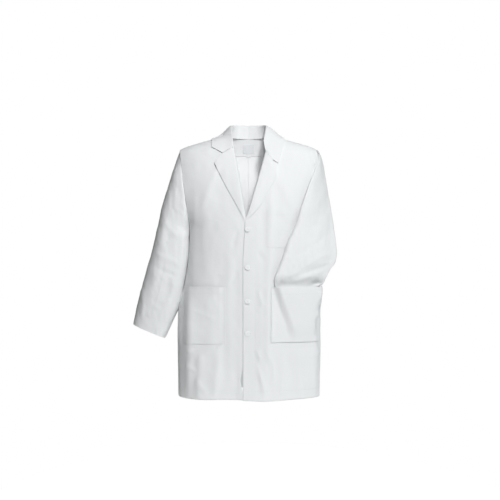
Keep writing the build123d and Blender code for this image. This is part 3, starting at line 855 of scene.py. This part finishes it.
def cloth_material(name, colour, rough=0.88, bump=0.35, weave=True):
    """Matt cloth: faint blotches of colour, small creases and, if it is woven, the twill's lines."""
    material, tree, shader = new_material(name, {
        "Roughness": rough, "Sheen Weight": 0.12, "Sheen Roughness": 0.5, "Specular IOR Level": 0.25,
    })
    place = tree.nodes.new("ShaderNodeTexCoord").outputs["Object"]
    blotch = add_node(tree, "TexNoise", {"Scale": 9.0, "Detail": 3.0}, [("Vector", place)])
    two_tones(tree, blotch, shader, [c * 0.975 for c in colour], colour)
    crease_look = {"Scale": 26.0, "Detail": 4.0, "Roughness": 0.55, "Distortion": 0.7}
    creases = add_node(tree, "TexNoise", crease_look, [("Vector", place)])
    height = [("Height", creases.outputs["Fac"])]
    relief = add_node(tree, "Bump", {"Strength": bump, "Distance": 0.0022}, height)
    if weave:
        turn = add_node(tree, "Mapping", {"Rotation": (0.3, 0.9, 0.5)}, [("Vector", place)])
        lines = [("Vector", turn.outputs["Vector"])]
        twill = add_node(tree, "TexWave", {"Scale": 520.0, "Distortion": 0.6}, lines)
        both = [("Height", twill.outputs["Fac"]), ("Normal", relief.outputs["Normal"])]
        relief = add_node(tree, "Bump", {"Strength": 0.12, "Distance": 0.0002}, both)
    tree.links.new(relief.outputs["Normal"], shader.inputs["Normal"])
    return material


def button_material():
    """Polished polyester with a faint swirl."""
    material, tree, shader = new_material("button_polyester", {"Roughness": 0.28, "Coat Weight": 0.3})
    place = tree.nodes.new("ShaderNodeTexCoord").outputs["Object"]
    swirl = add_node(tree, "TexNoise", {"Scale": 120.0, "Distortion": 2.0}, [("Vector", place)])
    two_tones(tree, swirl, shader, (0.88, 0.89, 0.90), (0.94, 0.95, 0.95))
    return material


# ---- putting it together
COAT_COLOUR = (0.81, 0.82, 0.825)
CLOTH = cloth_material("coat_twill", COAT_COLOUR)
INSIDE = cloth_material("coat_twill_inside", COAT_COLOUR)
LABEL = cloth_material("label_weave", (0.76, 0.775, 0.79), 0.7, 0.1)
THREAD = cloth_material("sewing_thread", (0.72, 0.735, 0.74), 0.6, 0.1, False)
BUTTON = button_material()


def dress(obj, material, body="coat", replaces=()):
    """Give a piece its material, its body and the CAD nodes it stands for."""
    obj.data.materials.clear()
    obj.data.materials.append(material)
    if body:
        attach(obj, body)
    if replaces:
        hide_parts(*replaces)


def build_body():
    for side, word in ((-1, "right"), (1, "left")):
        front = grid_object(f"{word}_front", front_panel(side), thick=PANEL_THICK, side=-1)
        nodes = [f"{word}_front_panel", f"{word}_front_hem", f"{word}_front_facing"]
        if side > 0:
            nodes.append("left_front_placket")
        dress(front, CLOTH, "coat", nodes)
        back = grid_object(f"{word}_back", back_panel(side), thick=PANEL_THICK, side=-1)
        nodes = [f"{word}_back_panel", f"{word}_back_hem"]
        dress(back, INSIDE, "coat", nodes)


def build_right_sleeve():
    """Split at the elbow, with the inner face of the cuff and its stitches."""
    rows = sleeve_folds(right_sleeve_rows(), RIGHT_SLEEVE_FOLDS, 31)
    normals = grid_normals(rows)
    split = int(np.argmin(np.abs(rows[:, RIGHT_SLEEVE_COLUMNS // 2, 2] - ELBOW_Z)))
    upper = shell_object("right_sleeve_upper", rows[:split + 1], normals[:split + 1])
    dress(upper, CLOTH, None, ["right_upper_sleeve"])
    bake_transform(upper)
    lower = shell_object("right_sleeve_lower", rows[split:], normals[split:])
    nodes = ["right_lower_sleeve", "right_cuff_turning"]
    dress(lower, CLOTH, None, nodes)
    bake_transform(lower)
    lining = rows[-CUFF_ROWS:] - normals[-CUFF_ROWS:] * 2.2
    cuff = grid_object("right_cuff_inside", lining, thick=0.5, side=-1)
    dress(cuff, INSIDE, "right_forearm", [])
    line = rows[1 - CUFF_ROWS, 6:-6] + normals[1 - CUFF_ROWS, 6:-6] * 0.3
    seam = tube_object("right_cuff_stitches", stitches(line), CUFF_THREAD)
    dress(seam, THREAD, "right_forearm")


def build_left_sleeve():
    rows = sleeve_folds(left_sleeve_rows(), LEFT_SLEEVE_FOLDS, 37, True)
    sleeve = shell_object("left_sleeve_cloth", rows, grid_normals(rows, True), True)
    nodes = ["left_sleeve", "left_cuff_turning"]
    dress(sleeve, CLOTH, "coat", nodes)


def build_collar():
    for side, word in ((-1, "right"), (1, "left")):
        fall = grid_object(f"{word}_collar", collar_rows(side), thick=COLLAR_THICK, side=0)
        nodes = ["upper_collar", "under_collar", "collar_interlining"] if side < 0 else []
        dress(fall, CLOTH, None, nodes)
        body = f"{word}_lapel"
        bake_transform(fall)
        lapel = grid_object(f"{word}_lapel_cloth", lapel_rows(side), thick=LAPEL_THICK, side=0)
        dress(lapel, CLOTH, None, [body, f"{body}_facing"])
        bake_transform(lapel)
    stand = grid_object("collar_stand_cloth", stand_rows(), thick=STAND_THICK, side=0)
    dress(stand, INSIDE, "coat", ["collar_stand"])


def pocket_seams(x, z):
    """A pocket's stitched lines: down its sides, along its foot and under the hem of its mouth."""
    left, right, foot, mouth = x[0] + SEAM_INSET, x[1] - SEAM_INSET, z[0] + SEAM_INSET, z[1] - 2
    hem = z[1] - POCKET_HEM
    return (
        ((left, mouth), (left, foot)),
        ((left, foot), (right, foot)),
        ((right, foot), (right, mouth)),
        ((x[0] + 2, hem), (x[1] - 2, hem)),
    )


# place, how far its mouth sags open, how high it lies
POCKETS = {
    "right": (RIGHT_POCKET, 3.6, 0.9),
    "left": (LEFT_POCKET, 21.0, 1.2),
    "chest": (CHEST_POCKET, 0.4, 0.25),
}


def build_pockets():
    threads = []
    for word, ((x, z), sag, lift) in POCKETS.items():
        name = f"{word}_pocket"
        patch = grid_object(f"{name}_cloth", patch_rows(x, z, lift, sag), thick=PANEL_THICK, side=1)
        dress(patch, CLOTH, "coat", [name, f"{name}_hem"])
        for a, b in pocket_seams(x, z):
            px, pz = straight(a, b)
            threads += stitches(skin(px, pz, pocket_stand(x, z, lift, sag, px, pz) + 1.0))
    seams = tube_object("pocket_stitches", threads, SEAM_THREAD)
    dress(seams, THREAD, "coat", ["pocket_bartacks"])


def build_seams():
    """The placket's seam, the hems, the back's centre seam and the bar across the top of the vent."""
    hem = HEM_Z + HEM_DEPTH
    front = front_seam((25, -318), (25, HEM_Z + 4))
    front += front_seam((-17, hem), (270, hem))
    front += front_seam((-36, hem), (-270, hem), placket=False)
    dress(tube_object("front_stitches", front, SEAM_THREAD), THREAD, "coat")
    back, bar = [], VENT_TOP - 2
    for a, b in (((-268, hem), (268, hem)), ((4, -20), (4, VENT_TOP)), ((4, bar), (44, bar))):
        x, z = straight(a, b)
        back += stitches(skin(x, z, 0.4, False))
    dress(tube_object("back_stitches", back, SEAM_THREAD), THREAD, "coat")


def build_buttonholes():
    """Two stitched edges and two bars round each buttonhole, under its button."""
    holes = []
    for z in BUTTON_Z:
        for up in (-HOLE_HALF_HEIGHT, HOLE_HALF_HEIGHT):
            ends = (BUTTON_X - HOLE_HALF_LENGTH, z + up), (BUTTON_X + HOLE_HALF_LENGTH, z + up)
            px, pz = straight(*ends, 12)
            holes.append(skin(px, pz, placket_lift(px, pz) + 0.4))
        for end in (-HOLE_HALF_LENGTH - 0.5, HOLE_HALF_LENGTH + 0.5):
            ends = (BUTTON_X + end, z - BAR_HALF_HEIGHT), (BUTTON_X + end, z + BAR_HALF_HEIGHT)
            px, pz = straight(*ends, 6)
            holes.append(skin(px, pz, placket_lift(px, pz) + 0.5))
    edges = tube_object("buttonhole_edges", holes, HOLE_THREAD)
    dress(edges, THREAD, "coat", ["buttonhole_threads"])


# name, x and z between which it lies, how far inside the back, material, slot, CAD node, flat size
INSIDE_PATCHES = (
    ("vent_underlap_cloth", (2, 44), (HEM_Z + 3, VENT_TOP - 8), -2.2,
     INSIDE, "coat_cloth", "vent_underlap", (0.044, 0.405)),
    ("back_neck_band", (-62, 62), (-50, 16), -1.7, INSIDE, "coat_cloth", "back_neck_facing", (0.13, 0.08)),
    ("blank_label", (-22, 22), (-40, -6), -2.9, LABEL, "label_cloth", "neck_label", (0.046, 0.038)),
    ("blank_size_tab", (-8, 8), (-54, -40), -2.9, LABEL, "label_cloth", "size_tab", (0.017, 0.016)),
)


def build_inside_patches():
    """Cloth inside the back; near the neck it hangs straight down from the foot of the stand."""
    count = PATCH_COLUMNS
    for name, x, z, off, material, slot, node, flat in INSIDE_PATCHES:
        rows = []
        for level in rows_between(z[1], z[0], min(3.0, (z[1] - z[0]) / 24)):
            row = skin(np.linspace(x[0], x[1], count), np.full(count, level), off, False)
            hanging = np.interp(level, (-50, 16), (90, 61.5)) + off  # how far back it may lie, in Y
            row[:, 1] *= min(1.0, hanging / float(skin(0, level, off, False)[1]))
            rows.append(row)
        dress(grid_object(name, rows, thick=0.4, side=0), material, "coat", [node])


def paint_buttons():
    """The buttons and their threads are the CAD's own, in better materials."""
    for name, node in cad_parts.items():
        if name.startswith("button_"):
            material = THREAD if name.endswith("_thread") else BUTTON
            for slot in node.material_slots:
                slot.material = material


build_body()
build_right_sleeve()
build_left_sleeve()
build_collar()
build_pockets()
build_seams()
build_buttonholes()
build_inside_patches()
paint_buttons()


# ---- floor, light and camera
def build_floor():
    """A pale disc well below the hem."""
    place = (0, 0, FLOOR_Z * MM)
    bpy.ops.mesh.primitive_circle_add(vertices=96, radius=1.1, fill_type="NGON", location=place)
    floor = bpy.context.object
    floor.name = "floor"
    material, _, _ = new_material("pale_floor", {
        "Base Color": (0.9, 0.9, 0.9, 1), "Roughness": 1.0,
        "Emission Color": (1, 1, 1, 1), "Emission Strength": 0.7,
    })
    floor.data.materials.append(material)


def build_world():
    """White where the camera sees it; the light it gives grows towards +X."""
    world = bpy.data.worlds.new("studio")
    bpy.context.scene.world = world
    world.use_nodes = True
    tree = world.node_tree
    tree.nodes.clear()
    place = tree.nodes.new("ShaderNodeTexCoord")
    split = add_node(tree, "SeparateXYZ", {}, [("Vector", place.outputs["Generated"])])
    spread = {"From Min": -0.7, "From Max": 0.8, "To Min": 0.01, "To Max": 0.50}
    side = add_node(tree, "MapRange", spread, [("Value", split.outputs["X"])])
    side.interpolation_type = "SMOOTHSTEP"
    strength = [("Strength", side.outputs["Result"])]
    fill = add_node(tree, "Background", {"Color": (0.94, 0.985, 1.0, 1)}, strength)
    seen = add_node(tree, "Background", {"Color": (1, 1, 1, 1), "Strength": 1.0})
    path = tree.nodes.new("ShaderNodeLightPath")
    choice = [("Fac", path.outputs["Is Camera Ray"]), (1, fill.outputs[0]), (2, seen.outputs[0])]
    mix = add_node(tree, "MixShader", {}, choice)
    add_node(tree, "OutputWorld", {}, [("Surface", mix.outputs["Shader"])])


# name, place, aim, size and power
LIGHTS = (
    ("key", (0.46, -2.6, 1.20), (0.0, 0.0, -0.20), 0.34, 70),
    ("back_fill", (-1.2, 3.4, 0.6), (0.0, 0.0, -0.5), 2.6, 45),
    ("inside", (-0.04, -0.035, -0.12), (0.08, 0.06, -0.08), 0.10, 0.050),
    ("inside_low", (-0.01, -0.030, -0.19), (0.01, 0.07, 0.02), 0.08, 0.026),
)


def build_lights():
    """A key light, a large one behind, and two small hidden ones that light the inside of the neck."""
    for name, place, aim, size, power in LIGHTS:
        data = bpy.data.lights.new(name, "AREA")
        data.size = size
        data.energy = power
        light = bpy.data.objects.new(name, data)
        light.location = place
        light.visible_camera = False
        light.rotation_euler = (Vector(aim) - Vector(place)).to_track_quat("-Z", "Y").to_euler()
        bpy.context.scene.collection.objects.link(light)


def build_camera():
    """Level, straight in front of the coat."""
    data = bpy.data.cameras.new("camera")
    data.lens = 56.0
    data.sensor_width = 36.0
    camera = bpy.data.objects.new("camera", data)
    camera.location = (0.006, -3.016, -0.423)
    camera.rotation_euler = (math.pi / 2, 0, 0)
    bpy.context.scene.collection.objects.link(camera)
    bpy.context.scene.camera = camera


build_floor()
build_world()
build_lights()
build_camera()
bpy.context.scene.view_settings.view_transform = "Standard"
